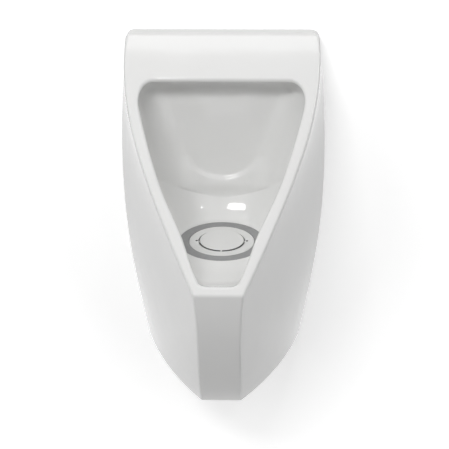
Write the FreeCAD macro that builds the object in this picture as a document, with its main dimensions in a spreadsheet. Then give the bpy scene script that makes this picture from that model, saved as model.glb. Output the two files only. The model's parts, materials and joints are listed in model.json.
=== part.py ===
import FreeCAD, Part
import math
import os
import Sketcher

# Wall hung waterless urinal. X runs across, Y into the wall (wall plane at Y = 0), Z up.
# The origin is the centre of the four hanger holes on the wall plane.
# A "drop" is a height below the top edge of the china, a "depth" a distance out from the wall.
# Trap pieces count their "sink" down from the bowl floor.

doc = FreeCAD.newDocument("wall_hung_urinal")
sheet = doc.addObject("Spreadsheet::Sheet", "sizes")
vec = FreeCAD.Vector

SIZES = {
    # china, overall
    "origin_drop": 92,
    "ledge_depth": 24,
    "ledge_round": 20,
    "lip_depth": 365,
    "lip_drop": 311.7,
    "lip_round": 7,
    "prow_half_turn": 18.5,
    "foot_drop": 610,
    "foot_depth": 217,
    "foot_round": 8,
    "crown_half": 164.5,
    "crown_round": 14,
    "china_wall": 11,
    "wall_over": 0.5,
    "rim_round": 5,
    "bowl_round": 6,
    # bowl roof and floor
    "roof_drop": 67.5,
    "roof_round": 28,
    "floor_drop": 336,
    "trap_depth": 132,
    "far_depth": 300,
    # seat for the trap in the bowl floor
    "seat_radius": 74.2,
    "seat_sink": 9,
    "hole_radius": 60,
    "boss_radius": 90,
    "boss_sink": 21,
    # web with the two hanging slots
    "web_back": 14,
    "web_front": 26,
    "web_foot": 38,
    "web_drop": 96,
    "slot_drop": 50,
    "slot_height": 24,
    "slot_width": 46,
    # wall hangers and their plastic liners
    "hanger_span": 200,
    "hanger_width": 40,
    "steel": 4,
    "tongue_drop": 52,
    "tongue_reach": 34,
    "hook_rise": 10,
    "hanger_foot_drop": 124,
    "bend_round": 3,
    "screw_hole_radius": 4.5,
    "screw_pitch": 32,
    "liner_wall": 2,
    "liner_skirt": 6,
    "liner_gap": 0.3,
    # housing under the bowl
    "ring_radius": 73.5,
    "ring_bore": 56.8,
    "ring_height": 3,
    "flange_height": 4,
    "shoulder_sink": 6,
    "barrel_radius": 58,
    "barrel_bore": 54,
    "barrel_sink": 134,
    "barrel_floor": 3.5,
    "nut_height": 12,
    "nut_radius": 72,
    "washer_radius": 77,
    "washer_height": 2,
    "thread_gap": 0.3,
    # outlet to the wall
    "outlet_sink": 106,
    "pipe_radius": 25,
    "pipe_wall": 2.5,
    "pipe_stub": 50,
    "pipe_entry": 60,
    "collar_radius": 28,
    "collar_back": 24,
    "collar_width": 4,
    "socket_radius": 29.5,
    "socket_depth": 42,
    "coupling_radius": 35,
    "coupling_back": 32,
    "coupling_front": 60,
    "coupling_wall": 4,
    # removable cup
    "cover_radius": 56.2,
    "cup_radius": 52.5,
    "cup_bore": 48.5,
    "cup_sink": 84,
    "cup_floor": 3,
    "shelf_sink": 17.5,
    "shelf_bore": 46,
    "seal_groove": 50.6,
    "seal_section": 1.55,
    "seal_sink_upper": 25,
    "seal_sink_lower": 35,
    # overflow pipe, seat, float and guide
    "weir_radius": 16,
    "weir_bore": 13.5,
    "weir_sink": 42,
    "weir_flange": 21,
    "hub_radius": 5,
    "arm_width": 2.4,
    "hub_height": 7,
    "seat_ring_radius": 19,
    "seat_ring_height": 3,
    "float_radius": 28,
    "float_height": 18,
    "float_bore": 3.4,
    "spindle_radius": 3,
    "spindle_top_sink": 12,
    "clip_radius": 6.5,
    "clip_height": 1.2,
    # cover, cap, bell and strainer
    "slot_bore": 40.5,
    "cap_radius": 38.3,
    "cap_rise": 3.5,
    "cap_skirt": 1.6,
    "clip_ring_bore": 31,
    "clip_ring_radius": 36.6,
    "bridge_width": 5,
    "key_hole_radius": 1.5,
    "key_span": 87,
    "skirt_bore": 45.2,
    "skirt_radius": 47.6,
    "skirt_sink": 13,
    "bell_radius": 37,
    "bell_wall": 2,
    "bell_sink": 62,
    "bell_top_sink": 3,
    "bell_top": 2,
    "strainer_radius": 48.2,
    "strainer_bore": 37.4,
    "strainer_height": 1.5,
    "cover_seal_section": 0.9,
    "cover_seal_sink": 8,
}

# Level sections of the china's outside: drop, half width at the wall, half width at the
# front, depth of the front and bow of the side. Above the lip the front is cut away later.
OUTER_FIELDS = ("drop", "wall_half", "front_half", "front_depth", "bow")
OUTER = {
    "crown": (-6, 161.8, 157.8, 395, 2),
    "shoulder": (118.4, 175.9, 93.3, 393.9, 2.6),
    "chest": (242.8, 182.3, 44.1, 387.7, 4.1),
    "prow": (367.2, 178.8, 27.6, 369.2, 5),
    "shin": (491.6, 164, 26.1, 320.5, 8),
    "sole": (616, 143.5, 22.5, 225.9, 14),
}

# Level sections of the bowl: drop, depth of the back wall, depth of the front end, half width
# beside the trap and at the far depth, radius of the back and front corners.
BOWL_FIELDS = ("drop", "back", "front", "near_half", "far_half", "back_round", "front_round")
BOWL = {
    "hood": (67.5, 44, 390, 134.5, 112, 42, 60),
    "high": (98, 42, 390, 132.8, 102.6, 46, 52),
    "middle": (135, 39, 390, 128.4, 88.1, 55, 40),
    "low": (206, 33, 390, 121.6, 67.8, 70, 26),
}
# The floor lies in a flat teardrop round the trap. Quarter ellipses join it to the walls: a low
# one at the back wall, and taller ones at the sides and corners, so the join sags in the middle.
FLOOR_LEVEL = (336, 55.5, 212, 82.5, 13.6, 74, 14)
WALL_FOOT = (336, 27, 390, 116.5, 54.3, 80, 17)
TURN_DROPS = (336, 296, 250, 222, 250, 222, 250)
DISH_DROPS = (250, 290, 314, 328, 336)


def dish_level(drop):
    """Values of one level: each field turns in from the wall along its own quarter ellipse."""
    values = []
    for wall, floor, start in zip(WALL_FOOT[1:], FLOOR_LEVEL[1:], TURN_DROPS[1:]):
        height = min((FLOOR_LEVEL[0] - drop) / (FLOOR_LEVEL[0] - start), 1)
        inward = 1 - math.sqrt(1 - (1 - height) ** 2)
        values.append(round(wall + (floor - wall) * inward, 2))
    return (drop, *values)


for drop in DISH_DROPS:
    BOWL[f"dish_{drop}"] = dish_level(drop)

for prefix, fields, levels in (("outer", OUTER_FIELDS, OUTER), ("bowl", BOWL_FIELDS, BOWL)):
    for level, values in levels.items():
        for field, value in zip(fields, values):
            SIZES[f"{prefix}_{level}_{field}"] = value

for row, (alias, value) in enumerate(SIZES.items(), start=1):
    sheet.set(f"A{row}", alias)
    sheet.set(f"B{row}", str(value))
    sheet.setAlias(f"B{row}", alias)
doc.recompute()


# Helpers: every length is an expression over the sheet, written with {name} for its cells.

def cells(text):
    return text.replace("{", "sizes.").replace("}", "")


def size(text):
    return float(sheet.evalExpression(cells(text)))


def bind(target, path, text):
    target.setExpression(path, cells(text))


def constrain(sketch, name, text, kind, *where):
    index = sketch.addConstraint(Sketcher.Constraint(kind, *where, size(text)))
    sketch.renameConstraint(index, name)
    bind(sketch, "Constraints." + name, text)


def pin_point(sketch, geometry, point, x, y):
    """Hold a point at (x, y); a zero puts it on the axis."""
    tag = f"{'edge' if geometry >= 0 else 'axis'}_{geometry}_{point}"
    for text, axis, kind in ((x, -2, "DistanceX"), (y, -1, "DistanceY")):
        if text == "0":
            sketch.addConstraint(Sketcher.Constraint("PointOnObject", geometry, point, axis))
        else:
            constrain(sketch, f"{tag}_{kind[-1].lower()}", text, kind, -1, 1, geometry, point)


def polygon(sketch, corners):
    points = [vec(size(x), size(y), 0) for x, y in corners]
    first = sketch.GeometryCount
    count = len(points)
    for index in range(count):
        sketch.addGeometry(Part.LineSegment(points[index], points[(index + 1) % count]), False)
    for index in range(count):
        after = first + (index + 1) % count
        sketch.addConstraint(Sketcher.Constraint("Coincident", first + index, 2, after, 1))
    for index, (x, y) in enumerate(corners):
        pin_point(sketch, first + index, 1, x, y)


def circle(sketch, x, y, radius):
    index = sketch.addGeometry(Part.Circle(vec(size(x), size(y), 0), vec(0, 0, 1), size(radius)), False)
    pin_point(sketch, index, 3, x, y)
    constrain(sketch, f"round_{index}", radius, "Radius", index)


def free_sketch(label, turn=None):
    sketch = doc.addObject("Sketcher::SketchObject", label)
    if turn:
        sketch.Placement.Rotation = turn
    return sketch


UPRIGHT_SIDE = FreeCAD.Rotation(vec(1, 1, 1), 120)
UPRIGHT_FRONT = FreeCAD.Rotation(vec(1, 0, 0), 90)


def body_at(label, depth="{trap_depth}", drop="{floor_drop}", side="0"):
    body = doc.addObject("PartDesign::Body", label)
    body.Label = label
    bind(body, "Placement.Base.x", side)
    bind(body, "Placement.Base.y", f"-({depth})")
    bind(body, "Placement.Base.z", f"{{origin_drop}} - ({drop})")
    return body


def body_sketch(body, label, role="XZ_Plane", offset=None):
    sketch = body.newObject("Sketcher::SketchObject", f"{body.Label}_{label}")
    plane = next(item for item in body.Origin.OriginFeatures if item.Role == role)
    sketch.AttachmentSupport = [(plane, "")]
    sketch.MapMode = "FlatFace"
    if offset:
        bind(sketch, "AttachmentOffset.Base.z", offset)
    doc.recompute()
    return sketch


def turned(body, label, corners, kind="PartDesign::Revolution"):
    """Turn an outline of (radius, sink) corners about the upright axis of the body."""
    sketch = body_sketch(body, label)
    polygon(sketch, [(x, "0" if y == "0" else f"-({y})") for x, y in corners])
    doc.recompute()
    feature = body.newObject(kind, f"{body.Label}_{label}_turn")
    feature.Profile = sketch
    feature.ReferenceAxis = (sketch, ["V_Axis"])
    feature.Angle = 360
    doc.recompute()
    return feature


def repeated(body, feature, count, axis="Z_Axis"):
    pattern = body.newObject("PartDesign::PolarPattern", f"{feature.Label}_ring")
    pattern.Originals = [feature]
    line = next(item for item in body.Origin.OriginFeatures if item.Role == axis)
    pattern.Axis = (line, [""])
    pattern.Angle = 360
    pattern.Occurrences = count
    body.Tip = pattern
    doc.recompute()
    return pattern


def boolean(kind, label, shapes):
    result = doc.addObject(kind, label)
    result.Shapes = shapes
    doc.recompute()
    return result


def cut(label, base, tool):
    result = doc.addObject("Part::Cut", label)
    result.Base = base
    result.Tool = tool
    doc.recompute()
    return result


def rounded(label, base, radius, wanted):
    """Fillet the edges of the base for which wanted(edge) holds."""
    edges = [index for index, edge in enumerate(base.Shape.Edges, start=1) if wanted(edge)]
    result = doc.addObject("Part::Fillet", label)
    result.Base = base
    result.Edges = [(index, size(radius), size(radius)) for index in edges]
    doc.recompute()
    return result


def extruded(label, sketch, direction, length, back="0"):
    result = doc.addObject("Part::Extrusion", label)
    result.Base = sketch
    result.DirMode = "Custom"
    result.Dir = direction
    result.Solid = True
    bind(result, "LengthFwd", length)
    bind(result, "LengthRev", back)
    doc.recompute()
    return result


def lofted(label, sections, degree=5):
    result = doc.addObject("Part::Loft", label)
    result.Sections = sections
    result.Solid = True
    result.MaxDegree = degree
    doc.recompute()
    return result


# China: the outside

def outer_section(level, inset="0", drop_shift="0"):
    """Line just behind the wall plane, two bowed sides and a front line, at one level."""
    tag = "outer_" + level
    sketch = free_sketch(f"{tag}_in" if inset != "0" else tag)
    wall = f"{{{tag}_wall_half}} - {inset}"
    front = f"{{{tag}_front_half}} - {inset}"
    depth = f"{{{tag}_front_depth}}"
    bow = size(f"{{{tag}_bow}}")
    right_back = vec(size(wall), size("{wall_over}"), 0)
    right_front = vec(size(front), -size(depth), 0)
    left_back = vec(-right_back.x, right_back.y, 0)
    left_front = vec(-right_front.x, right_front.y, 0)
    middle = (right_back + right_front) * 0.5
    outward = (right_back - right_front).cross(vec(0, 0, 1)).normalize()
    right_bow = middle + outward * bow
    left_bow = vec(-right_bow.x, right_bow.y, 0)
    sketch.addGeometry([
        Part.LineSegment(right_back, left_back),
        Part.Arc(left_back, left_bow, left_front),
        Part.LineSegment(left_front, right_front),
        Part.Arc(right_front, right_bow, right_back),
    ], False)
    for edge in range(4):
        after = (edge + 1) % 4
        sketch.addConstraint(Sketcher.Constraint("Coincident", edge, 2, after, 1))
    sketch.addConstraint(Sketcher.Constraint("Equal", 1, 3))
    pin_point(sketch, 0, 1, wall, "{wall_over}")
    pin_point(sketch, 0, 2, f"-({wall})", "{wall_over}")
    pin_point(sketch, 2, 1, f"-({front})", f"-{depth}")
    pin_point(sketch, 2, 2, front, f"-{depth}")
    chord = f"pow({{{tag}_wall_half}} - {{{tag}_front_half}}; 2) + pow({depth} + {{wall_over}}; 2)"
    radius = f"({chord}) / (8 * {{{tag}_bow}}) + {{{tag}_bow}} / 2"
    constrain(sketch, "side_radius", radius, "Radius", 3)
    bind(sketch, "Placement.Base.z", f"{{origin_drop}} - {{{tag}_drop}}")
    return sketch


def side_profile(label, inset):
    """Ledge, sloping rim plane, curved prow and foot, seen from the side."""
    sketch = free_sketch(label, UPRIGHT_SIDE)
    slope = "({lip_drop} / ({lip_depth} - {ledge_depth}))"
    lean = f"sqrt(1 + pow({slope}; 2))"
    run = f"{inset} * ({lean} - 1) / {slope}"
    corners = [
        ("0", f"{{origin_drop}} - {inset}"),
        (f"-({{ledge_depth}} - {run} )", f"{{origin_drop}} - {inset}"),
        (f"-({{lip_depth}} - {inset})", f"{{origin_drop}} - {{lip_drop}} - {inset} * 0.45"),
        (f"-({{foot_depth}} - {inset})", f"{{origin_drop}} - {{foot_drop}} + {inset}"),
        ("0", f"{{origin_drop}} - {{foot_drop}} + {inset}"),
    ]
    points = [vec(size(x), size(y), 0) for x, y in corners]
    chord = points[3] - points[2]
    half_turn = math.radians(size("{prow_half_turn}"))
    radius = chord.Length / (2 * math.sin(half_turn))
    sag = radius * (1 - math.cos(half_turn))
    outward = chord.cross(vec(0, 0, 1)).normalize()
    belly = (points[2] + points[3]) * 0.5 + outward * sag
    sketch.addGeometry([
        Part.LineSegment(points[0], points[1]),
        Part.LineSegment(points[1], points[2]),
        Part.Arc(points[2], belly, points[3]),
        Part.LineSegment(points[3], points[4]),
        Part.LineSegment(points[4], points[0]),
    ], False)
    for edge in range(5):
        after = (edge + 1) % 5
        sketch.addConstraint(Sketcher.Constraint("Coincident", edge, 2, after, 1))
    for index, (x, y) in enumerate(corners):
        if index != 2:
            pin_point(sketch, index, 1, x, y)
    pin_point(sketch, 1, 2, *corners[2])
    reach = "({lip_depth} - {foot_depth})"
    fall = f"({{foot_drop}} - {{lip_drop}} - {inset} * 1.45)"
    chord_length = f"sqrt(pow({reach}; 2) + pow({fall}; 2))"
    constrain(sketch, "prow_radius", f"{chord_length} / (2 * sin({{prow_half_turn}}))", "Radius", 2)
    return sketch


def is_cross_edge(edge):
    box = edge.BoundBox
    return box.XLength > 10 and box.YLength < 0.01 and box.ZLength < 0.01


def china_outside():
    plan = lofted("outer_plan", [outer_section(level) for level in OUTER], 3)
    side = extruded("side_pad", side_profile("side_outline", "0"), vec(1, 0, 0), "210", "210")
    side_round = doc.addObject("Part::Fillet", "side_form")
    side_round.Base = side
    radii = {"ledge_depth": "ledge_round", "lip_depth": "lip_round", "foot_depth": "foot_round"}
    edges = []
    for index, edge in enumerate(side.Shape.Edges, start=1):
        for depth, radius in radii.items():
            if is_cross_edge(edge) and abs(edge.CenterOfMass.y + size(f"{{{depth}}}")) < 0.1:
                edges.append((index, size(f"{{{radius}}}"), size(f"{{{radius}}}")))
    side_round.Edges = edges
    doc.recompute()
    front = free_sketch("front_outline", UPRIGHT_FRONT)
    top = "{origin_drop}"
    polygon(front, [
        ("{crown_half}", top),
        ("-{crown_half}", top),
        ("-{crown_half}", f"{top} - 1.02 * {{crown_round}}"),
        ("-{crown_half} - 60", f"{top} - 200"),
        ("-{crown_half} - 60", f"{top} - {{foot_drop}} - 20"),
        ("{crown_half} + 60", f"{top} - {{foot_drop}} - 20"),
        ("{crown_half} + 60", f"{top} - 200"),
        ("{crown_half}", f"{top} - 1.02 * {{crown_round}}"),
    ])
    crown = extruded("crown_pad", front, vec(0, -1, 0), "400", "5")
    top_z = size(top)
    crown_round = rounded("crown_form", crown, "{crown_round}", lambda edge: (
        edge.BoundBox.YLength > 100 and abs(edge.CenterOfMass.z - top_z) < 0.01))
    return boolean("Part::MultiCommon", "outer_form", [plan, side_round, crown_round])


def rim_edge(edge):
    """Edges between the side faces and the ledge, rim, prow and foot."""
    box = edge.BoundBox
    foot = size("{origin_drop} - {foot_drop}")
    at_wall = box.YMin > -0.01
    sideways = box.XLength < 0.01 and box.ZLength < 0.01
    return not at_wall and not is_cross_edge(edge) and (not sideways or box.ZMax < foot + 1)


# China: the bowl

def bowl_section(level, grow="0", shift="0"):
    """Rounded wedge: flat back, two splayed sides and a narrow front."""
    tag = "bowl_" + level
    sketch = free_sketch(f"{tag}_shell" if grow != "0" else tag)
    back = f"{{{tag}_back}} - {grow}"
    front = f"{{{tag}_front}} + {grow}"
    back_round = f"{{{tag}_back_round}} + {grow}"
    front_round = f"{{{tag}_front_round}} + {grow}"
    splay = f"(({{{tag}_near_half}} - {{{tag}_far_half}}) / ({{far_depth}} - {{trap_depth}}))"
    lean = f"sqrt(1 + pow({splay}; 2))"
    near = f"{{{tag}_near_half}} + {grow} * {lean}"
    far = f"{{{tag}_far_half}} + {grow} * {lean}"
    stretch = size(lean)
    outward = vec(1 / stretch, -size(splay) / stretch, 0)
    side_angle = math.atan2(outward.y, outward.x)

    def corner_centre(depth, radius):
        half = size(near) - size(splay) * (depth - size("{trap_depth}")) - radius * stretch
        return vec(half, -depth, 0)

    def mirrored(point):
        return vec(-point.x, point.y, 0)

    def corner(centre, radius, start, end):
        return Part.ArcOfCircle(Part.Circle(centre, vec(0, 0, 1), radius), start, end)

    big, small = size(back_round), size(front_round)
    behind = corner_centre(size(back) + big, big)
    ahead = corner_centre(size(front) - small, small)
    side_back = behind + outward * big
    side_front = ahead + outward * small
    y_back, y_front = -size(back), -size(front)
    sketch.addGeometry([
        Part.LineSegment(vec(behind.x, y_back, 0), vec(-behind.x, y_back, 0)),
        corner(mirrored(behind), big, math.pi / 2, math.pi - side_angle),
        Part.LineSegment(mirrored(side_back), mirrored(side_front)),
        corner(mirrored(ahead), small, math.pi - side_angle, 1.5 * math.pi),
        Part.LineSegment(vec(-ahead.x, y_front, 0), vec(ahead.x, y_front, 0)),
        corner(ahead, small, -math.pi / 2, side_angle),
        Part.LineSegment(side_front, side_back),
        corner(behind, big, side_angle, math.pi / 2),
    ], False)
    for edge in range(8):
        sketch.addConstraint(Sketcher.Constraint("Tangent", edge, 2, (edge + 1) % 8, 1))
    for kind, *where in (("Equal", 1, 7), ("Equal", 3, 5),
                         ("Symmetric", 0, 1, 0, 2, -2), ("Symmetric", 4, 1, 4, 2, -2)):
        sketch.addConstraint(Sketcher.Constraint(kind, *where))
    constrain(sketch, "back_line", back, "DistanceY", 0, 1, -1, 1)
    constrain(sketch, "front_line", front, "DistanceY", 4, 1, -1, 1)
    constrain(sketch, "back_round", back_round, "Radius", 7)
    constrain(sketch, "front_round", front_round, "Radius", 5)
    for name, half, depth in (("near", near, "{trap_depth}"), ("far", far, "{far_depth}")):
        end = vec(size(half), -size(depth), 0)
        gauge = sketch.addGeometry(Part.LineSegment(mirrored(end), end), True)
        sketch.addConstraint(Sketcher.Constraint("Horizontal", gauge))
        sketch.addConstraint(Sketcher.Constraint("PointOnObject", gauge, 2, 6))
        sketch.addConstraint(Sketcher.Constraint("PointOnObject", gauge, 1, 2))
        constrain(sketch, f"{name}_depth", depth, "DistanceY", gauge, 2, -1, 1)
        constrain(sketch, f"{name}_width", f"2 * ({half})", "DistanceX", gauge, 1, gauge, 2)
    bind(sketch, "Placement.Base.z", f"{{origin_drop}} - {{{tag}_drop}} - {shift}")
    return sketch


def cylinder(label, radius, low_sink, high_sink):
    """Upright cylinder on the trap axis between two sinks below the bowl floor."""
    result = doc.addObject("Part::Cylinder", label)
    bind(result, "Radius", radius)
    bind(result, "Height", f"({low_sink}) - ({high_sink})")
    bind(result, "Placement.Base.y", "-{trap_depth}")
    bind(result, "Placement.Base.z", f"{{origin_drop}} - {{floor_drop}} - ({low_sink})")
    doc.recompute()
    return result


def block(label, width, depth, height, x, y, z):
    result = doc.addObject("Part::Box", label)
    for path, text in (("Length", width), ("Width", depth), ("Height", height),
                       ("Placement.Base.x", x), ("Placement.Base.y", y), ("Placement.Base.z", z)):
        bind(result, path, text)
    doc.recompute()
    return result


def bowl_former():
    former = lofted("bowl_loft", [bowl_section(level) for level in BOWL])
    roof = size("{origin_drop} - {roof_drop}")
    return rounded("bowl_form", former, "{roof_round}", lambda edge: (
        abs(edge.Vertexes[0].Z - roof) < 0.01 and abs(edge.Vertexes[-1].Z - roof) < 0.01
        and abs(edge.CenterOfMass.z - roof) < 0.01))


def back_hollow():
    """Space behind and below the bowl, open at the wall."""
    plan = lofted("hollow_plan", [outer_section(level, "{china_wall} * 1.1") for level in OUTER], 3)
    side = extruded("hollow_side", side_profile("hollow_outline", "{china_wall}"),
                    vec(1, 0, 0), "210", "210")
    levels = list(BOWL)
    shifts = {levels[0]: "-{china_wall}", levels[-1]: "{china_wall}"}
    shell = lofted("bowl_shell", [
        bowl_section(level, "{china_wall}", shifts.get(level, "0")) for level in levels])
    boss = cylinder("seat_boss", "{boss_radius}", "{boss_sink}", "0")
    web_outline = free_sketch("web_outline", UPRIGHT_SIDE)
    top = "{origin_drop}"
    polygon(web_outline, [
        ("-{web_back}", f"{top} - 4"),
        ("-{web_front}", f"{top} - 4"),
        ("-{web_front}", f"{top} - {{web_drop}} + 18"),
        ("-{web_foot}", f"{top} - {{web_drop}} + 6"),
        ("-{web_foot}", f"{top} - {{web_drop}}"),
        ("-{web_back}", f"{top} - {{web_drop}}"),
    ])
    web = extruded("hanging_web", web_outline, vec(1, 0, 0), "190", "190")
    space = boolean("Part::MultiCommon", "hollow_space", [plan, side])
    solid_parts = boolean("Part::MultiFuse", "hollow_keep", [shell, boss, web])
    return cut("back_hollow", space, solid_parts)


def hanging_slot(side, sign):
    return block(f"hanging_slot_{side}", "{slot_width}", "{web_foot} + 6", "{slot_height}",
                 f"{sign} * {{hanger_span}} / 2 - {{slot_width}} / 2",
                 "-{web_front} - 4", "{origin_drop} - {slot_drop} - {slot_height}")


def ceramic_body():
    outside = rounded("outer_soft", china_outside(), "{rim_round}", rim_edge)
    former = bowl_former()
    tools = boolean("Part::MultiFuse", "china_cutters", [
        former,
        back_hollow(),
        cylinder("seat_recess", "{seat_radius}", "{seat_sink}", "-20"),
        cylinder("trap_hole", "{hole_radius}", "{boss_sink} + 5", "-20"),
        hanging_slot("left", "-1"),
        hanging_slot("right", "1"),
    ])
    china = cut("china_sharp", outside, tools)
    ledge_edge = vec(0, -size("{ledge_depth}"), size("{origin_drop}"))
    lip_edge = vec(0, -size("{lip_depth}"), size("{origin_drop} - {lip_drop}"))
    rim_normal = (lip_edge - ledge_edge).cross(vec(1, 0, 0)).normalize()
    bowl_skin = Part.Shell(former.Shape.Faces)

    def mouth_edge(edge):
        points = [edge.valueAt(edge.FirstParameter + step * (edge.LastParameter - edge.FirstParameter))
                  for step in (0.1, 0.5, 0.9)]
        in_plane = all(abs((point - ledge_edge).dot(rim_normal)) < 0.01 for point in points)
        return in_plane and bowl_skin.distToShape(Part.Vertex(points[1]))[0] < 0.01

    return rounded("ceramic_body", china, "{bowl_round}", mouth_edge)


# Wall hangers: bent steel strip with a hook, and a plastic saddle that the china rests on

def hanger(side, sign):
    label = f"hanger_{side}"
    body = body_at(label, depth="0", drop="{origin_drop}", side=f"{sign} * {{hanger_span}} / 2")
    outline = body_sketch(body, "outline", "YZ_Plane")
    tongue_top = "{origin_drop} - {tongue_drop}"
    polygon(outline, [
        ("0", tongue_top),
        ("0", "{origin_drop} - {hanger_foot_drop}"),
        ("-{steel}", "{origin_drop} - {hanger_foot_drop}"),
        ("-{steel}", f"{tongue_top} - {{steel}}"),
        ("-{tongue_reach}", f"{tongue_top} - {{steel}}"),
        ("-{tongue_reach}", f"{tongue_top} + {{hook_rise}}"),
        ("-{tongue_reach} + {steel}", f"{tongue_top} + {{hook_rise}}"),
        ("-{tongue_reach} + {steel}", tongue_top),
    ])
    strip = body.newObject("PartDesign::Pad", f"{label}_strip")
    strip.Profile = outline
    strip.SideType = "Symmetric"
    bind(strip, "Length", "{hanger_width}")
    doc.recompute()
    tongue_under = f"{tongue_top} - {{steel}}"
    inside = (("-{steel}", tongue_under), ("-{tongue_reach} + {steel}", tongue_top))
    outside = (("0", tongue_top), ("-{tongue_reach}", tongue_under))
    bent = strip
    for name, corners, radius in (("inner", inside, "{bend_round}"),
                                  ("outer", outside, "{bend_round} + {steel}")):
        places = [(size(y), size(z)) for y, z in corners]
        edges = [f"Edge{index}" for index, edge in enumerate(bent.Shape.Edges, start=1)
                 if edge.BoundBox.XLength > 10
                 and any(math.dist((edge.CenterOfMass.y, edge.CenterOfMass.z), place) < 0.01
                         for place in places)]
        bend = body.newObject("PartDesign::Fillet", f"{label}_{name}_bends")
        bend.Base = (bent, edges)
        bind(bend, "Radius", radius)
        doc.recompute()
        bent = bend
    holes = body_sketch(body, "screw_holes")
    for step in ("", "-"):
        circle(holes, "0", f"{step}{{screw_pitch}} / 2", "{screw_hole_radius}")
    drilled = body.newObject("PartDesign::Pocket", f"{label}_screw_bores")
    drilled.Profile = holes
    drilled.Type = "Length"
    drilled.SideType = "Symmetric"
    bind(drilled, "Length", "6 * {steel}")
    doc.recompute()
    return body


def liner(side, sign):
    label = f"liner_{side}"
    body = body_at(label, depth="{steel} + {bend_round} + {liner_gap}", drop="{tongue_drop}",
                   side=f"{sign} * {{hanger_span}} / 2")
    outline = body_sketch(body, "saddle")
    half = "{hanger_width} / 2 + {liner_gap}"
    outer = f"{half} + {{liner_wall}}"
    polygon(outline, [
        (outer, "{liner_wall}"),
        (f"-({outer})", "{liner_wall}"),
        (f"-({outer})", "-{liner_skirt}"),
        (f"-({half})", "-{liner_skirt}"),
        (f"-({half})", "0"),
        (half, "0"),
        (half, "-{liner_skirt}"),
        (outer, "-{liner_skirt}"),
    ])
    saddle = body.newObject("PartDesign::Pad", f"{label}_pad")
    saddle.Profile = outline
    bind(saddle, "Length", "{tongue_reach} - 2 * {steel} - 2 * {bend_round} - 2 * {liner_gap}")
    doc.recompute()
    return body


# Trap housing under the bowl, with what clamps it to the china

def seal_ring():
    body = body_at("seal_ring")
    turned(body, "ring", [
        ("{ring_bore}", "0"), ("{ring_radius}", "0"),
        ("{ring_radius}", "{ring_height}"), ("{ring_bore}", "{ring_height}"),
    ])
    return body


def pocket(body, sketch, label, length, **options):
    """Cut a sketch out of the body and make sure that it did cut."""
    before = body.Shape.Volume
    feature = body.newObject("PartDesign::Pocket", f"{body.Label}_{label}")
    feature.Profile = sketch
    for name, value in options.items():
        setattr(feature, name, value)
    bind(feature, "Length", length)
    doc.recompute()
    if body.Shape.Volume >= before:
        raise RuntimeError(f"{feature.Label} cuts nothing")
    return feature


def trap_housing():
    body = body_at("trap_housing")
    flange_under = "{ring_height} + {flange_height}"
    floor_top = "{barrel_sink} - {barrel_floor}"
    turned(body, "barrel", [
        ("0", "{ring_height}"),
        ("{ring_radius}", "{ring_height}"),
        ("{ring_radius}", flange_under),
        ("{barrel_radius}", flange_under),
        ("{barrel_radius}", "{barrel_sink} - 14"),
        ("{barrel_radius} - 14", "{barrel_sink}"),
        ("0", "{barrel_sink}"),
    ])
    socket = body_sketch(body, "socket", offset="-{trap_depth} + {socket_depth}")
    circle(socket, "0", "-{outlet_sink}", "{socket_radius}")
    spigot = body.newObject("PartDesign::Pad", "trap_housing_spigot")
    spigot.Profile = socket
    bind(spigot, "Length", "{trap_depth} - {socket_depth} - {barrel_bore} + 12")
    doc.recompute()
    turned(body, "bore", [
        ("0", "{ring_height}"),
        ("{ring_bore}", "{ring_height}"),
        ("{ring_bore}", "{shoulder_sink}"),
        ("{barrel_bore}", "{shoulder_sink}"),
        ("{barrel_bore}", f"{floor_top} - 12"),
        ("{barrel_bore} - 12", floor_top),
        ("0", floor_top),
    ], "PartDesign::Groove")
    pipe_bore = body_sketch(body, "pipe_bore", offset="-{trap_depth} + {socket_depth}")
    circle(pipe_bore, "0", "-{outlet_sink}", "{pipe_radius} + {thread_gap}")
    pocket(body, pipe_bore, "pipe_seat", "{pipe_entry} + 0.5 - {socket_depth}", Reversed=True)
    waterway = body_sketch(body, "waterway", offset="-{trap_depth} + {socket_depth}")
    circle(waterway, "0", "-{outlet_sink}", "{pipe_radius} - {pipe_wall}")
    pocket(body, waterway, "waterway_bore", "{trap_depth} - {socket_depth} - {barrel_bore} + 16",
           Reversed=True)
    return body


def flange_gasket():
    body = body_at("flange_gasket")
    top = "{ring_height} + {flange_height}"
    turned(body, "ring", [
        ("{hole_radius} + 1", top), ("{ring_radius}", top),
        ("{ring_radius}", "{seat_sink}"), ("{hole_radius} + 1", "{seat_sink}"),
    ])
    return body


def nut_washer():
    body = body_at("nut_washer")
    bore = "{barrel_radius} + {thread_gap}"
    turned(body, "ring", [
        (bore, "{boss_sink}"), ("{washer_radius}", "{boss_sink}"),
        ("{washer_radius}", "{boss_sink} + {washer_height}"), (bore, "{boss_sink} + {washer_height}"),
    ])
    return body


def lock_nut():
    body = body_at("lock_nut")
    bore = "{barrel_radius} + {thread_gap}"
    top = "{boss_sink} + {washer_height}"
    turned(body, "ring", [
        (bore, top), ("{nut_radius}", top),
        ("{nut_radius}", f"{top} + {{nut_height}}"), (bore, f"{top} + {{nut_height}}"),
    ])
    notch = body_sketch(body, "notch", "XY_Plane")
    polygon(notch, [("{nut_radius} - 5", "-6"), ("{nut_radius} + 3", "-6"),
                    ("{nut_radius} + 3", "6"), ("{nut_radius} - 5", "6")])
    cutter = pocket(body, notch, "key_notch", "100", Midplane=True)
    repeated(body, cutter, 8)
    return body


# Outlet to the wall: these bodies stand on the outlet axis with their sink running out of the wall

def outlet_body(label):
    body = body_at(label, depth="0", drop="{floor_drop} + {outlet_sink}")
    body.Placement.Rotation = FreeCAD.Rotation(vec(1, 0, 0), -90)
    return body


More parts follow.
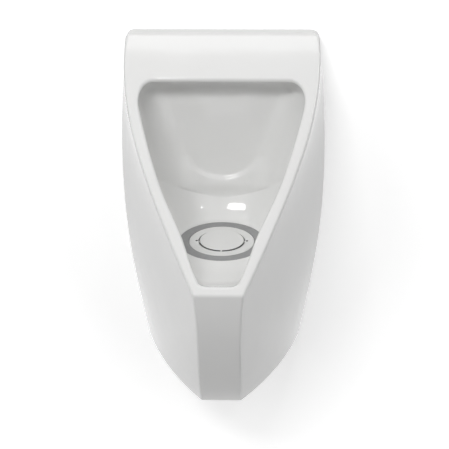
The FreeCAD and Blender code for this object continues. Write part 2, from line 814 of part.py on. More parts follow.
def tail_pipe():
    body = outlet_body("tail_pipe")
    bore = "{pipe_radius} - {pipe_wall}"
    front = "{collar_back} + {collar_width}"
    turned(body, "tube", [
        (bore, "-{pipe_stub}"), ("{pipe_radius}", "-{pipe_stub}"),
        ("{pipe_radius}", "{collar_back}"), ("{collar_radius}", "{collar_back} + 0.6"),
        ("{collar_radius}", front), ("{pipe_radius}", front),
        ("{pipe_radius}", "{pipe_entry}"), (bore, "{pipe_entry}"),
    ])
    return body


def outlet_seal():
    body = outlet_body("outlet_seal")
    back = "{coupling_back} + {coupling_wall}"
    turned(body, "wedge", [
        ("{pipe_radius}", back), ("{socket_radius} - 2.5", back),
        ("{socket_radius}", "{socket_depth}"), ("{pipe_radius}", "{socket_depth}"),
    ])
    return body


def outlet_nut():
    body = outlet_body("outlet_nut")
    inside = "{coupling_back} + {coupling_wall}"
    turned(body, "ring", [
        ("{pipe_radius} + {thread_gap}", "{coupling_back}"),
        ("{coupling_radius}", "{coupling_back}"),
        ("{coupling_radius}", "{coupling_front}"),
        ("{socket_radius} + {thread_gap}", "{coupling_front}"),
        ("{socket_radius} + {thread_gap}", inside),
        ("{pipe_radius} + {thread_gap}", inside),
    ])
    rib = body_sketch(body, "grip", "XY_Plane", offset="-{coupling_front}")
    polygon(rib, [("{coupling_radius} - 1", "-2.5"), ("{coupling_radius} + 1.6", "-1.5"),
                  ("{coupling_radius} + 1.6", "1.5"), ("{coupling_radius} - 1", "2.5")])
    grip = body.newObject("PartDesign::Pad", "outlet_nut_grip_rib")
    grip.Profile = rib
    bind(grip, "Length", "{coupling_front} - {coupling_back}")
    doc.recompute()
    repeated(body, grip, 12)
    return body


# Removable insert: cup, overflow pipe, valve seat, guide and strainer

def o_ring(label, groove_radius, section, sink):
    ring = doc.addObject("Part::Torus", label)
    bind(ring, "Radius1", f"{groove_radius} + {section}")
    bind(ring, "Radius2", section)
    bind(ring, "Placement.Base.y", "-{trap_depth}")
    bind(ring, "Placement.Base.z", f"{{origin_drop}} - {{floor_drop}} - {sink}")
    doc.recompute()
    return ring


def ring_groove(body, label, floor_radius, outer_radius, section, sink):
    width = f"({section} + 0.15)"
    before = body.Shape.Volume
    turned(body, label, [
        (floor_radius, f"{sink} - {width}"), (f"{outer_radius} + 1", f"{sink} - {width}"),
        (f"{outer_radius} + 1", f"{sink} + {width}"), (floor_radius, f"{sink} + {width}"),
    ], "PartDesign::Groove")
    if body.Shape.Volume >= before:
        raise RuntimeError(f"{label} cuts nothing")


def trap_cup():
    body = body_at("trap_cup")
    floor_top = "{cup_sink} - {cup_floor}"
    drain = "{weir_radius} + 0.1"
    turned(body, "wall", [
        ("{cup_bore}", "{ring_height}"),
        ("{cover_radius}", "{ring_height}"),
        ("{cover_radius}", "{shoulder_sink}"),
        ("{cup_radius}", "{shoulder_sink}"),
        ("{cup_radius}", "{cup_sink} - 4"),
        ("{cup_radius} - 4", "{cup_sink}"),
        (drain, "{cup_sink}"),
        (drain, floor_top),
        ("{cup_bore} - 4", floor_top),
        ("{cup_bore}", f"{floor_top} - 4"),
        ("{cup_bore}", "{shelf_sink} + 4.5"),
        ("{shelf_bore}", "{shelf_sink} + 2"),
        ("{shelf_bore}", "{shelf_sink}"),
        ("{cup_bore}", "{shelf_sink}"),
    ])
    for place in ("upper", "lower"):
        ring_groove(body, f"{place}_groove", "{seal_groove}", "{cup_radius}",
                    "{seal_section}", f"{{seal_sink_{place}}}")
    return body


def cup_seals():
    rings = doc.addObject("Part::Compound", "cup_seals")
    rings.Links = [o_ring(f"cup_seal_{place}", "{seal_groove}", "{seal_section}",
                          f"{{seal_sink_{place}}}") for place in ("upper", "lower")]
    doc.recompute()
    return rings


def standpipe():
    body = body_at("standpipe")
    floor_top = "{cup_sink} - {cup_floor}"
    flange_top = f"{floor_top} - 2.5"
    turned(body, "tube", [
        ("{weir_bore}", "{weir_sink}"),
        ("{weir_radius}", "{weir_sink}"),
        ("{weir_radius}", flange_top),
        ("{weir_flange}", flange_top),
        ("{weir_flange}", floor_top),
        ("{weir_radius}", floor_top),
        ("{weir_radius}", "{cup_sink}"),
        ("{weir_bore}", "{cup_sink}"),
    ])
    low = "-{weir_sink} - 2 - {hub_height}"
    arm_outline = body_sketch(body, "arm", "XY_Plane", offset=low)
    polygon(arm_outline, [("0", "-{arm_width} / 2"), ("{weir_bore} + 0.8", "-{arm_width} / 2"),
                          ("{weir_bore} + 0.8", "{arm_width} / 2"), ("0", "{arm_width} / 2")])
    arm = body.newObject("PartDesign::Pad", "standpipe_guide_arm")
    arm.Profile = arm_outline
    bind(arm, "Length", "{hub_height}")
    doc.recompute()
    repeated(body, arm, 3)
    hub_outline = body_sketch(body, "hub", "XY_Plane", offset=low)
    circle(hub_outline, "0", "0", "{hub_radius}")
    hub = body.newObject("PartDesign::Pad", "standpipe_hub")
    hub.Profile = hub_outline
    bind(hub, "Length", "{hub_height}")
    doc.recompute()
    bore = body_sketch(body, "bore", "XY_Plane", offset="-{weir_sink}")
    circle(bore, "0", "0", "{spindle_radius} + 0.05")
    pocket(body, bore, "hub_bore", "{hub_height} + 4")
    return body


def valve_seat():
    body = body_at("valve_seat")
    top = "{weir_sink} - {seat_ring_height}"
    turned(body, "ring", [
        ("{weir_bore} - 1", top), ("{seat_ring_radius}", top),
        ("{seat_ring_radius}", "{weir_sink} + 4"), ("{weir_radius}", "{weir_sink} + 4"),
        ("{weir_radius}", "{weir_sink}"), ("{weir_bore} - 1", "{weir_sink}"),
    ])
    return body


def float_valve():
    body = body_at("float_valve")
    bottom = "{weir_sink} - {seat_ring_height}"
    top = f"{bottom} - {{float_height}}"
    turned(body, "bob", [
        ("{float_bore}", top), ("{float_radius} - 6", top),
        ("{float_radius}", f"{top} + 4"), ("{float_radius}", f"{bottom} - 4"),
        ("{float_radius} - 5", bottom), ("{float_bore}", bottom),
    ])
    return body


def guide_spindle():
    body = body_at("guide_spindle")
    top = "{spindle_top_sink}"
    waist = "{spindle_radius} - 0.7"
    turned(body, "pin", [
        ("0", top), ("{spindle_radius} - 0.6", top), ("{spindle_radius}", f"{top} + 0.6"),
        ("{spindle_radius}", f"{top} + 1.2"), (waist, f"{top} + 1.2"),
        (waist, f"{top} + 1.3 + {{clip_height}}"), ("{spindle_radius}", f"{top} + 1.3 + {{clip_height}}"),
        ("{spindle_radius}", "{weir_sink} + 2 + {hub_height}"), ("0", "{weir_sink} + 2 + {hub_height}"),
    ])
    return body


def spindle_clip():
    body = body_at("spindle_clip")
    top = "{spindle_top_sink} + 1.25"
    bore = "{spindle_radius} - 0.7"
    turned(body, "washer", [
        (bore, top), ("{clip_radius}", top),
        ("{clip_radius}", f"{top} + {{clip_height}}"), (bore, f"{top} + {{clip_height}}"),
    ])
    gap = body_sketch(body, "gap", "XY_Plane")
    half = "{spindle_radius} * 0.55"
    polygon(gap, [("0", f"-{half}"), ("{clip_radius} + 1", f"-{half}"),
                  ("{clip_radius} + 1", half), ("0", half)])
    pocket(body, gap, "mouth", "60", Midplane=True)
    return body


def hair_strainer():
    body = body_at("hair_strainer")
    top = "{shelf_sink} - {strainer_height}"
    turned(body, "plate", [
        ("{strainer_bore}", top), ("{strainer_radius}", top),
        ("{strainer_radius}", "{shelf_sink}"), ("{strainer_bore}", "{shelf_sink}"),
    ])
    slit = body_sketch(body, "slit", "XY_Plane")
    polygon(slit, [("{strainer_bore} + 2", "-0.8"), ("{shelf_bore} - 1", "-1.2"),
                   ("{shelf_bore} - 1", "1.2"), ("{strainer_bore} + 2", "0.8")])
    opening = pocket(body, slit, "slit_cut", "80", Midplane=True)
    repeated(body, opening, 36)
    return body


# Cover with its raised cap and the bell that hangs under it

def cover_plate():
    body = body_at("cover_plate")
    under = "{ring_height}"
    turned(body, "plate", [
        ("{slot_bore}", "0"), ("{cover_radius} - 0.8", "0"), ("{cover_radius}", "0.8"),
        ("{cover_radius}", under), ("{skirt_radius}", under), ("{skirt_radius}", "{skirt_sink}"),
        ("{skirt_bore}", "{skirt_sink}"), ("{skirt_bore}", under), ("{slot_bore}", under),
    ])
    ring_groove(body, "seal_groove", "{cup_bore} - 0.3 - 2 * {cover_seal_section}",
                "{skirt_radius}", "{cover_seal_section}", "{cover_seal_sink}")
    bridge_outline = body_sketch(body, "bridge", "XY_Plane", offset=f"-{under}")
    polygon(bridge_outline, [
        ("-{bridge_width} / 2", "-{slot_bore} - 1.2"), ("{bridge_width} / 2", "-{slot_bore} - 1.2"),
        ("{bridge_width} / 2", "-{clip_ring_bore} - 2"), ("-{bridge_width} / 2", "-{clip_ring_bore} - 2"),
    ])
    bridge = body.newObject("PartDesign::Pad", "cover_plate_bridge_pad")
    bridge.Profile = bridge_outline
    bind(bridge, "Length", f"{under} - {{cap_skirt}}")
    doc.recompute()
    repeated(body, bridge, 4)
    turned(body, "clip_ring", [
        ("{clip_ring_bore}", "0.5"), ("{clip_ring_radius}", "0.5"),
        ("{clip_ring_radius}", under), ("{clip_ring_bore}", under),
    ])
    keys = body_sketch(body, "key_holes", "XY_Plane")
    for step in ("", "-"):
        circle(keys, f"{step}{{key_span}} / 2", "0", "{key_hole_radius}")
    pocket(body, keys, "key_bores", "{ring_height} + 1")
    return body


def centre_cap():
    """Shallow dome over the clip ring, with a short skirt."""
    body = body_at("centre_cap")
    sketch = body_sketch(body, "dome")
    crown = "{cap_rise}"
    shoulder = ("{cap_radius} - 1", "{cap_rise} - 1.5")
    rim = [("{cap_radius}", "{cap_rise} - 2.5"), ("{cap_radius}", "-{cap_skirt} + 0.1"),
           ("{clip_ring_radius} + 0.1", "-{cap_skirt} + 0.1"),
           ("{clip_ring_radius} + 0.1", "-0.5"), ("0", "-0.5"), ("0", crown)]
    points = [vec(size(x), size(y), 0) for x, y in (shoulder, *rim)]
    sag = points[-1].y - points[0].y
    dome_radius = (points[0].x ** 2 + sag ** 2) / (2 * sag)
    centre = vec(0, points[-1].y - dome_radius, 0)
    half_angle = math.asin(points[0].x / dome_radius)
    dome = Part.ArcOfCircle(Part.Circle(centre, vec(0, 0, 1), dome_radius),
                            math.pi / 2 - half_angle, math.pi / 2)
    for start, end in zip(points[:-1], points[1:]):
        sketch.addGeometry(Part.LineSegment(start, end), False)
    arc = sketch.addGeometry(dome, False)
    for index in range(5):
        sketch.addConstraint(Sketcher.Constraint("Coincident", index, 2, index + 1, 1))
    sketch.addConstraint(Sketcher.Constraint("Coincident", 5, 2, arc, 2))
    sketch.addConstraint(Sketcher.Constraint("Coincident", arc, 1, 0, 1))
    sketch.addConstraint(Sketcher.Constraint("PointOnObject", arc, 3, -2))
    for index, (x, y) in enumerate((shoulder, *rim[:-1])):
        pin_point(sketch, index, 1, x, y)
    pin_point(sketch, 5, 2, *rim[-1])
    doc.recompute()
    cap = body.newObject("PartDesign::Revolution", "centre_cap_turn")
    cap.Profile = sketch
    cap.ReferenceAxis = (sketch, ["V_Axis"])
    cap.Angle = 360
    doc.recompute()
    return body


def bell_baffle():
    body = body_at("bell_baffle")
    inner = "{bell_radius} - {bell_wall}"
    under_top = "{bell_top_sink} + {bell_top}"
    turned(body, "shell", [
        ("0", "{bell_top_sink}"), ("{bell_radius}", "{bell_top_sink}"),
        ("{bell_radius}", "{bell_sink}"), (inner, "{bell_sink}"),
        (inner, under_top), ("0", under_top),
    ])
    return body


def cover_seal():
    return o_ring("cover_seal", "{cup_bore} - 0.3 - 2 * {cover_seal_section}",
                  "{cover_seal_section}", "{cover_seal_sink}")


def checked(piece):
    shape = piece.Shape
    if shape.isNull() or not shape.isValid() or not shape.Solids:
        raise RuntimeError(f"{piece.Label} has no valid solid")
    return piece


pieces = [checked(piece) for piece in (
    ceramic_body(),
    hanger("left", "-1"), hanger("right", "1"),
    liner("left", "-1"), liner("right", "1"),
    seal_ring(), trap_housing(), flange_gasket(), nut_washer(), lock_nut(),
    tail_pipe(), outlet_seal(), outlet_nut(),
    trap_cup(), cup_seals(), standpipe(), valve_seat(), float_valve(),
    guide_spindle(), spindle_clip(), hair_strainer(),
    cover_plate(), centre_cap(), bell_baffle(), cover_seal(),
)]
doc.recompute()

failed = [item.Label for item in doc.Objects if {"Invalid", "Error"} & set(item.State)]
if failed:
    raise RuntimeError(f"failed objects: {failed}")

os.makedirs("parts", exist_ok=True)
for piece in pieces:
    piece.Shape.exportStep(f"parts/{piece.Label}.step")
    print(piece.Label, len(piece.Shape.Solids), round(piece.Shape.Volume), "mm3")
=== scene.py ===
import bpy
import json
import math
from mathutils import Vector, Matrix


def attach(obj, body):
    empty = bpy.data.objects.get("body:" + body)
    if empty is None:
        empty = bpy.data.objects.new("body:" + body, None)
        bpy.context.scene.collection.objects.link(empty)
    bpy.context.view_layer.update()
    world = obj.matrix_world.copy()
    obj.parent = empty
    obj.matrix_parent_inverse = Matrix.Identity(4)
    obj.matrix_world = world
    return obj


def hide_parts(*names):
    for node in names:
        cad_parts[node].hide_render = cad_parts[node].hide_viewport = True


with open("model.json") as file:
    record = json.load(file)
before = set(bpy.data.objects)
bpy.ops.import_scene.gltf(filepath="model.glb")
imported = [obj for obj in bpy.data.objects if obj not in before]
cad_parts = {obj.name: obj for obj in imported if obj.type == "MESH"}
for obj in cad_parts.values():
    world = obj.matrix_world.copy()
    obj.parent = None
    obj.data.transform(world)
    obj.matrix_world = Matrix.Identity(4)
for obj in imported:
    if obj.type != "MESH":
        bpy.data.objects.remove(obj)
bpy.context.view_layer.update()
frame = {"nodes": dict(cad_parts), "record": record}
nodes = frame["nodes"]
bpy.ops.object.select_all(action="DESELECT")
scene = bpy.context.scene
print("frame loaded:", len(nodes), "nodes")

# the seal ring lies round the outlet, level with the cover and the bowl floor
ringBox = nodes["seal_ring"].bound_box
outletX, outletY = (round((ringBox[0][axis] + ringBox[6][axis]) / 2, 4) for axis in (0, 1))
bowlFloor = round(ringBox[6][2], 4)

noiseSpan = (0.3, 0.7)  # nearly all of a noise lies between these


def newMaterial(name, colour, rough, **sockets):
    mat = bpy.data.materials.new(name)
    mat.use_nodes = True
    shader = mat.node_tree.nodes["Principled BSDF"]
    shader.inputs["Base Color"].default_value = (*colour, 1)
    shader.inputs["Roughness"].default_value = rough
    for socket, value in sockets.items():
        shader.inputs[socket.replace("_", " ")].default_value = value
    return mat, mat.node_tree, shader


def addNode(tree, kind, **values):
    node = tree.nodes.new(kind)
    for key, value in values.items():
        if key in node.inputs:
            node.inputs[key].default_value = value
        else:
            setattr(node, key, value)
    return node


def mathNode(tree, operation, first, second=None, clamped=False):
    node = addNode(tree, "ShaderNodeMath", operation=operation, use_clamp=clamped)
    for socket, value in zip(node.inputs, (first, second)):
        if isinstance(value, bpy.types.NodeSocket):
            tree.links.new(value, socket)
        elif value is not None:
            socket.default_value = value
    return node.outputs[0]


def mapRange(tree, source, start, end, low, high):
    span = addNode(tree, "ShaderNodeMapRange")
    for key, value in (("From Min", start), ("From Max", end), ("To Min", low), ("To Max", high)):
        span.inputs[key].default_value = value
    tree.links.new(source, span.inputs["Value"])
    return span.outputs["Result"]


def noise(tree, scale, detail):
    coords = addNode(tree, "ShaderNodeTexCoord")
    tex = addNode(tree, "ShaderNodeTexNoise", Scale=scale, Detail=detail)
    tree.links.new(coords.outputs["Object"], tex.inputs["Vector"])
    return tex


def vary(tree, tex, target, low, high):
    tree.links.new(mapRange(tree, tex.outputs["Fac"], *noiseSpan, low, high), target)


def tint(tree, tex, target, dark, light):
    ramp = addNode(tree, "ShaderNodeValToRGB")
    for stop, position, colour in zip(ramp.color_ramp.elements, noiseSpan, (dark, light)):
        stop.position = position
        stop.color = (*colour, 1)
    tree.links.new(tex.outputs["Fac"], ramp.inputs["Fac"])
    tree.links.new(ramp.outputs["Color"], target)


def bump(tree, shader, tex, strength, distance):
    node = addNode(tree, "ShaderNodeBump", Strength=strength, Distance=distance)
    tree.links.new(tex.outputs["Fac"], node.inputs["Height"])
    tree.links.new(node.outputs["Normal"], shader.inputs["Normal"])


glaze = {
    "light": (0.87, 0.87, 0.862),
    "dark": (0.855, 0.855, 0.846),
    "cloud": (6, 3),  # scale and detail of each noise
    "rough": (0.05, 0.09),
    "polish": (24, 4),
    "ripple": (14, 2),
    "rippleDepth": (0.25, 0.0006),  # strength and distance
}


def makeGlaze():
    mat, tree, shader = newMaterial("glazedChina", glaze["light"], glaze["rough"][0],
                                    IOR=1.5, Specular_IOR_Level=0.5)
    tint(tree, noise(tree, *glaze["cloud"]), shader.inputs["Base Color"], glaze["dark"], glaze["light"])
    vary(tree, noise(tree, *glaze["polish"]), shader.inputs["Roughness"], *glaze["rough"])
    bump(tree, shader, noise(tree, *glaze["ripple"]), *glaze["rippleDepth"])
    return mat


plastic = {
    "scale": 60,
    "cloud": (0.4, 3),  # share of the scale and detail of each noise
    "polish": (1, 5),
    "grain": (14, 2),
    "grainStrength": 0.5,
    "grainDepth": 0.00004,
}


def plasticNodes(name, dark, light, rough, scale=plastic["scale"], depth=plastic["grainDepth"]):
    mat, tree, shader = newMaterial(name, light, rough[0], IOR=1.46)
    cloud, polish, grain = (noise(tree, scale * plastic[layer][0], plastic[layer][1])
                            for layer in ("cloud", "polish", "grain"))
    tint(tree, cloud, shader.inputs["Base Color"], dark, light)
    vary(tree, polish, shader.inputs["Roughness"], *rough)
    bump(tree, shader, grain, plastic["grainStrength"], depth)
    return mat, tree, shader


def makePlastic(*look):
    return plasticNodes(*look)[0]


# dark, light, roughness, and the scale and depth of the grain
coverLook = ((0.765, 0.765, 0.757), (0.785, 0.785, 0.777), (0.30, 0.36), 25, 0.00002)
coverMarks = {
    "keyHole": 0.0435,  # from the middle of the cover
    "keyRadius": 0.0021,
    "capEdge": 0.0377,
    "capShade": 0.0012,  # the painted shade on the cap's edge ends this far above the cover
    "nick": 0.0014,  # half the gap in the painted shade along the edge
    # painted shade: inside the key holes the cover is painted near black
    "holeShadeColour": (0.012, 0.012, 0.012),
    # painted shade: the foot of the cap's edge, down in the slot, is painted dark
    "edgeShadeColour": (0.13, 0.13, 0.13),
}


def distance(tree, x, y):
    square = mathNode(tree, "ADD", mathNode(tree, "MULTIPLY", x, x), mathNode(tree, "MULTIPLY", y, y))
    return mathNode(tree, "SQRT", square)


def keyHoleShadeMask(tree, x, y):
    away = distance(tree, mathNode(tree, "SUBTRACT", x, coverMarks["keyHole"]), y)
    return mathNode(tree, "LESS_THAN", away, coverMarks["keyRadius"])


def capEdgeShadeMask(tree, x, y, z):
    edge = mathNode(tree, "GREATER_THAN", distance(tree, x, y), coverMarks["capEdge"])
    low = mathNode(tree, "LESS_THAN", z, coverMarks["capShade"])
    beside = mathNode(tree, "GREATER_THAN", x, coverMarks["nick"])
    return mathNode(tree, "MULTIPLY", mathNode(tree, "MULTIPLY", edge, low), beside)


def makeCover(name, isCap):
    mat, tree, shader = plasticNodes(name, *coverLook)
    coords = addNode(tree, "ShaderNodeTexCoord")
    place = addNode(tree, "ShaderNodeVectorMath", operation="SUBTRACT")
    place.inputs[1].default_value = (outletX, outletY, bowlFloor)
    split = addNode(tree, "ShaderNodeSeparateXYZ")
    tree.links.new(coords.outputs["Object"], place.inputs[0])
    tree.links.new(place.outputs[0], split.inputs[0])
    x, y, z = split.outputs
    x = mathNode(tree, "ABSOLUTE", x)  # both sides alike
    # painted shade: the mask darkens the key holes, or on the cap the foot of its edge
    mix = addNode(tree, "ShaderNodeMix", data_type="RGBA")
    tree.links.new(capEdgeShadeMask(tree, x, y, z) if isCap else keyHoleShadeMask(tree, x, y), mix.inputs["Factor"])
    tree.links.new(shader.inputs["Base Color"].links[0].from_socket, mix.inputs["A"])
    mix.inputs["B"].default_value = (*coverMarks["edgeShadeColour" if isCap else "holeShadeColour"], 1)
    tree.links.new(mix.outputs["Result"], shader.inputs["Base Color"])
    return mat


rubber = {
    "cloud": (90, 5),
    "rough": (0.62, 0.8),
    "polish": (160, 4),
    "grain": (900, 3),
    "grainDepth": (0.4, 0.00008),
}


def makeRubber(name, dark, light):
    mat, tree, shader = newMaterial(name, light, rubber["rough"][0], IOR=1.5, Specular_IOR_Level=0.3)
    tint(tree, noise(tree, *rubber["cloud"]), shader.inputs["Base Color"], dark, light)
    vary(tree, noise(tree, *rubber["polish"]), shader.inputs["Roughness"], *rubber["rough"])
    bump(tree, shader, noise(tree, *rubber["grain"]), *rubber["grainDepth"])
    return mat


steel = {
    "grain": (40, 6),
    "shade": 0.86,  # the darkest tone as a share of the lightest
    "rough": (0.28, 0.48),
    "grainDepth": (0.3, 0.00005),
}


def makeSteel(name, tone, stretch):
    light, dark = (tone,) * 3, (tone * steel["shade"],) * 3
    mat, tree, shader = newMaterial(name, light, steel["rough"][0], Metallic=1.0)
    tex = noise(tree, *steel["grain"])
    place = addNode(tree, "ShaderNodeMapping")
    place.inputs["Scale"].default_value = stretch  # tighter along the height, so the grain runs across
    tree.links.new(tex.inputs["Vector"].links[0].from_socket, place.inputs["Vector"])
    tree.links.new(place.outputs["Vector"], tex.inputs["Vector"])
    tint(tree, tex, shader.inputs["Base Color"], dark, light)
    vary(tree, tex, shader.inputs["Roughness"], *steel["rough"])
    bump(tree, shader, tex, *steel["grainDepth"])
    return mat


finishes = {
    "glazed_china": makeGlaze(),
    "cover_plastic": makeCover("coverPlastic", False),
    "ring_rubber": makeRubber("ringRubber", (0.32, 0.322, 0.325), (0.35, 0.352, 0.355)),
    "gasket_rubber": makeRubber("gasketRubber", (0.012, 0.012, 0.013), (0.022, 0.022, 0.023)),
    "hanger_steel": makeSteel("zincSteel", 0.62, (1, 1, 6)),
    "spindle_steel": makeSteel("turnedSteel", 0.68, (1, 1, 30)),
}
plainPlastics = {  # name, dark, light, roughness, and for the foam its own scale and depth
    "cup_plastic": ("cupPlastic", (0.60, 0.61, 0.61), (0.66, 0.67, 0.67), (0.3, 0.42)),
    "housing_plastic": ("housingPlastic", (0.24, 0.25, 0.26), (0.29, 0.30, 0.31), (0.38, 0.5)),
    "pipe_plastic": ("pipePlastic", (0.70, 0.70, 0.68), (0.76, 0.76, 0.74), (0.3, 0.42)),
    "liner_plastic": ("linerPlastic", (0.50, 0.50, 0.48), (0.56, 0.56, 0.54), (0.4, 0.55)),
    "float_foam": ("floatFoam", (0.68, 0.68, 0.62), (0.75, 0.75, 0.69), (0.5, 0.62), 120, 0.0002),
}
for slot, look in plainPlastics.items():
    finishes[slot] = makePlastic(*look)

slotOf = {part["node"]: part["material_slot"] for part in frame["record"]["subparts"]}
for name, node in nodes.items():
    node.data.materials.clear()
    node.data.materials.append(finishes[slotOf[name]])
nodes["centre_cap"].data.materials[0] = makeCover("capPlastic", True)
print("materials ready:", len(finishes) + 1)  # the cap has its own


bowlForm = {
    "halfWidth": 0.128,  # a box round the bowl's walls
    "depths": (-0.24, -0.018),
    "heights": (-0.2455, -0.07),
    "heart": (0, -0.13, -0.12),  # the walls of the bowl face this point, the china's back doesn't
    "start": 0.0765,  # the funnel starts this far from the outlet's axis
    "slope": 0.7,
    "steepening": 21.7,
    "oval": 0.62,
    "sideStart": 0.035,  # past this distance from the middle the funnel climbs faster
    "sideRise": 12.3,
    "rear": (-0.150, -0.108),  # the funnel fades in between these, towards the back
    "rearDrop": 0.02,  # and lies this far under the floor before them
    "blend": 0.005,  # rounds the line where the funnel meets the wall
    "pocket": -0.122,  # height of the middle of the oval pocket in the back wall
    "pocketHalf": (0.060, 0.047),
    "lip": 0.006,  # the wall below the pocket stands this far forward
    "lipWidth": 0.10,
    "lipRise": 0.035,
    "lipSides": (0.055, 0.1),
    "lipFade": (-0.176, -0.208),
    "lipDepths": (-0.07, -0.045),  # only the back wall has the lip
    "weld": 0.000005,  # joins the loose triangles
    "grid": 0.0032,  # edges longer than this are split, in passes
    "passes": 4,
}


def smoothStep(low, high, value):
    part = min(max((value - low) / (high - low), 0), 1)
    return part * part * (3 - 2 * part)


def onBowlWall(place, normal):
    front, back = bowlForm["depths"]
    low, high = bowlForm["heights"]
    inside = abs(place.x) < bowlForm["halfWidth"] and front < place.y < back and low < place.z < high
    return inside and (Vector(bowlForm["heart"]) - place).dot(normal) > 0


def funnelHeight(x, y):
    away = math.hypot((x - outletX) * bowlForm["oval"], y - outletY) - bowlForm["start"]
    rise = (bowlForm["slope"] + bowlForm["steepening"] * max(away, 0)) * away
    rise += bowlForm["sideRise"] * max(abs(x) - bowlForm["sideStart"], 0) ** 2
    drop = bowlForm["rearDrop"]
    return bowlFloor - drop + (rise + drop) * smoothStep(*bowlForm["rear"], y)


def pocketLip(x, y, z):
    across, down = bowlForm["pocketHalf"]
    below = bowlForm["pocket"] - z
    out = math.hypot(x / across, below / down)
    lip = smoothStep(1 - bowlForm["lipWidth"], 1 + bowlForm["lipWidth"], out)
    lip *= smoothStep(0, bowlForm["lipRise"], below) * (1 - smoothStep(*bowlForm["lipSides"], abs(x)))
    lip *= 1 - smoothStep(*bowlForm["lipFade"], z)
    return bowlForm["lip"] * lip * smoothStep(*bowlForm["lipDepths"], y)


def bowlPoint(place):
    x, y, z = place
    funnel = funnelHeight(x, y)
    blend = bowlForm["blend"]
    near = max(blend - abs(z - funnel), 0) / blend
    return Vector((x, y - pocketLip(x, y, z), max(z, funnel) + near * near * blend / 4))


def refineBowl(body):
    for _ in range(bowlForm["passes"]):
        mesh = body.data
        wall = [face for face in mesh.polygons if onBowlWall(face.center, face.normal)]
        wallEdges = {key for face in wall for key in face.edge_keys}
        for item in (*mesh.polygons, *mesh.vertices):
            item.select = False
        for edge in mesh.edges:
            start, end = (mesh.vertices[index].co for index in edge.vertices)
            edge.select = edge.key in wallEdges and (start - end).length > bowlForm["grid"]
        bpy.ops.object.mode_set(mode="EDIT")
        bpy.ops.mesh.select_mode(type="EDGE")
        bpy.ops.mesh.subdivide(number_cuts=1)
        bpy.ops.object.mode_set(mode="OBJECT")


def makeBody():
    china = nodes["ceramic_body"]
    china.select_set(True)
    bpy.context.view_layer.objects.active = china
    bpy.ops.object.duplicate()
    body = bpy.context.object
    body.name = "glazedBody"
    bpy.ops.mesh.customdata_custom_splitnormals_clear()
    bpy.ops.object.mode_set(mode="EDIT")
    bpy.ops.mesh.select_all(action="SELECT")
    bpy.ops.mesh.remove_doubles(threshold=bowlForm["weld"])
    bpy.ops.mesh.select_all(action="DESELECT")
    bpy.ops.object.mode_set(mode="OBJECT")
    refineBowl(body)
    points = body.data.vertices  # every move is worked out first, because a move changes the normals
    moved = {point.index: bowlPoint(point.co) for point in points if onBowlWall(point.co, point.normal)}
    for index, place in moved.items():
        points[index].co = place
    bpy.ops.object.select_all(action="DESELECT")
    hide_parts("ceramic_body")
    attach(body, "base")
    return body


nodes["ceramic_body"] = makeBody()
print("bowl formed:", len(nodes["ceramic_body"].data.polygons), "faces")


edgeAngle = 32  # degrees between faces, past which an edge stays sharp
for name, node in nodes.items():
    node.select_set(True)
    bpy.context.view_layer.objects.active = node
    bpy.ops.object.shade_smooth_by_angle(angle=math.radians(edgeAngle))
    if name == "ceramic_body":  # flat faces keep their shading up to the rounded edges
        bpy.ops.object.modifier_add(type="WEIGHTED_NORMAL")
        node.modifiers[-1].keep_sharp = True
        bpy.ops.object.modifier_apply(modifier=node.modifiers[-1].name)
    node.select_set(False)
print("shading done")


stageSizes = {
    "floorHeight": -0.86,
    "wallDepth": 0.001,  # the wall's face, just behind the china's back rim
    "size": 12,
    "floorPaint": 0.74,
    "wallPaint": 0.96,
    "matt": 0.9,
    "glow": (0.40, 0.75),  # near the object and far from it; the lower glow near the object is painted shade round it
    "glowMiddle": (0, -0.27, 0),
    "glowReach": (0.3, 0.75),
    "world": 0.22,
}


def seenDirectly(tree):
    path = addNode(tree, "ShaderNodeLightPath")
    mirrored = mathNode(tree, "MAXIMUM", path.outputs["Is Camera Ray"], path.outputs["Is Glossy Ray"])
    return mathNode(tree, "MAXIMUM", mirrored, path.outputs["Is Transmission Ray"])


def addGlow(tree, shader):
    coords = addNode(tree, "ShaderNodeTexCoord")
    away = addNode(tree, "ShaderNodeVectorMath", operation="DISTANCE")
    away.inputs[1].default_value = stageSizes["glowMiddle"]
    tree.links.new(coords.outputs["Object"], away.inputs[0])
    # painted shade: the floor and wall glow less near the object, so they look shaded round it
    glow = mapRange(tree, away.outputs["Value"], *stageSizes["glowReach"], *stageSizes["glow"])
    shader.inputs["Emission Color"].default_value = (1, 1, 1, 1)
    tree.links.new(mathNode(tree, "MULTIPLY", seenDirectly(tree), glow), shader.inputs["Emission Strength"])


def hideFromBehind(tree, shader):
    path = addNode(tree, "ShaderNodeLightPath")
    side = addNode(tree, "ShaderNodeNewGeometry")
    shown = mathNode(tree, "SUBTRACT", path.outputs["Is Camera Ray"], side.outputs["Backfacing"], True)
    clear = addNode(tree, "ShaderNodeBsdfTransparent")
    mix = addNode(tree, "ShaderNodeMixShader")
    for socket, source in zip(mix.inputs, (shown, clear.outputs[0], shader.outputs[0])):
        tree.links.new(source, socket)
    tree.links.new(mix.outputs[0], tree.nodes["Material Output"].inputs["Surface"])


def paleSheet(name, location, turn, paint, oneSided=False):
    bpy.ops.mesh.primitive_plane_add(size=stageSizes["size"], location=location, rotation=turn)
    sheet = bpy.context.object
    sheet.name = name
    mat, tree, shader = newMaterial(name + "Paint", (paint,) * 3, stageSizes["matt"], Specular_IOR_Level=0.0)
    addGlow(tree, shader)
    if oneSided:  # only the view from the front meets the wall, so the back stays lit and visible
        hideFromBehind(tree, shader)
    sheet.data.materials.append(mat)


def makeWorld():
    world = bpy.data.worlds.new("studio")
    scene.world = world
    world.use_nodes = True
    tree = world.node_tree
    back = tree.nodes["Background"]
    back.inputs["Color"].default_value = (1, 1, 1, 1)
    strength = mapRange(tree, seenDirectly(tree), 0, 1, stageSizes["world"], 1)
    tree.links.new(strength, back.inputs["Strength"])


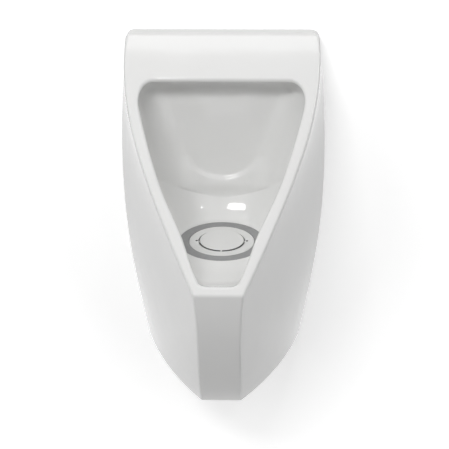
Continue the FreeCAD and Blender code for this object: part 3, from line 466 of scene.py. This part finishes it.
upright = (math.radians(90), 0, 0)
paleSheet("floor", (0, 0, stageSizes["floorHeight"]), (0, 0, 0), stageSizes["floorPaint"])
paleSheet("backdrop", (0, stageSizes["wallDepth"], 0), upright, stageSizes["wallPaint"], True)
makeWorld()

lampAim = (0, -0.15, -0.2)
lamps = {  # place, width and height, watts
    "frontLamp": ((-0.55, -1.7, 1.35), (0.75, 0.36), 19),
    "overLamp": ((0, -0.15, 2.4), (1.4, 0.7), 9),
    "leftLamp": ((-1.8, -0.7, 1.7), (1.6, 1.6), 6),
    "rightLamp": ((1.6, -0.4, 1.8), (0.8, 0.8), 8),
    "smallLamp": ((0.72, -1.7, 1.4), (0.3, 0.12), 2.4),
}


def areaLight(name, spot, size, power):
    bpy.ops.object.light_add(type="AREA", location=spot)
    light = bpy.context.object
    light.name = name
    light.data.shape = "RECTANGLE"
    light.data.size, light.data.size_y = size
    light.data.energy = power
    light.rotation_euler = (Vector(lampAim) - Vector(spot)).to_track_quat("-Z", "Y").to_euler()


for name, lamp in lamps.items():
    areaLight(name, *lamp)
print("floor, wall and lamps ready")


cameraFit = {  # fitted to the outlines in the photo
    "target": (0.0052, -0.150, -0.2041),
    "distance": 1.6998,
    "elevation": 25.89,
    "yaw": 1.32,
    "roll": -0.21,
    "focalPixels": 1003.4,
    "imagePixels": 449,
    "sensor": 36,
    "clip": (0.05, 60),
}


def makeCamera():
    up, yaw, roll = (math.radians(cameraFit[key]) for key in ("elevation", "yaw", "roll"))
    back = Vector((math.sin(yaw) * math.cos(up), -math.cos(yaw) * math.cos(up), math.sin(up)))
    bpy.ops.object.camera_add(location=Vector(cameraFit["target"]) + back * cameraFit["distance"])
    cam = bpy.context.object
    cam.name = "photoCamera"
    turn = (-back).to_track_quat("-Z", "Y").to_matrix() @ Matrix.Rotation(roll, 3, "Z")
    cam.rotation_euler = turn.to_euler()
    cam.data.sensor_width = cameraFit["sensor"]
    cam.data.lens = cameraFit["sensor"] * cameraFit["focalPixels"] / cameraFit["imagePixels"]
    cam.data.clip_start, cam.data.clip_end = cameraFit["clip"]
    scene.camera = cam


makeCamera()
scene.view_settings.view_transform = "Standard"
print("camera ready")
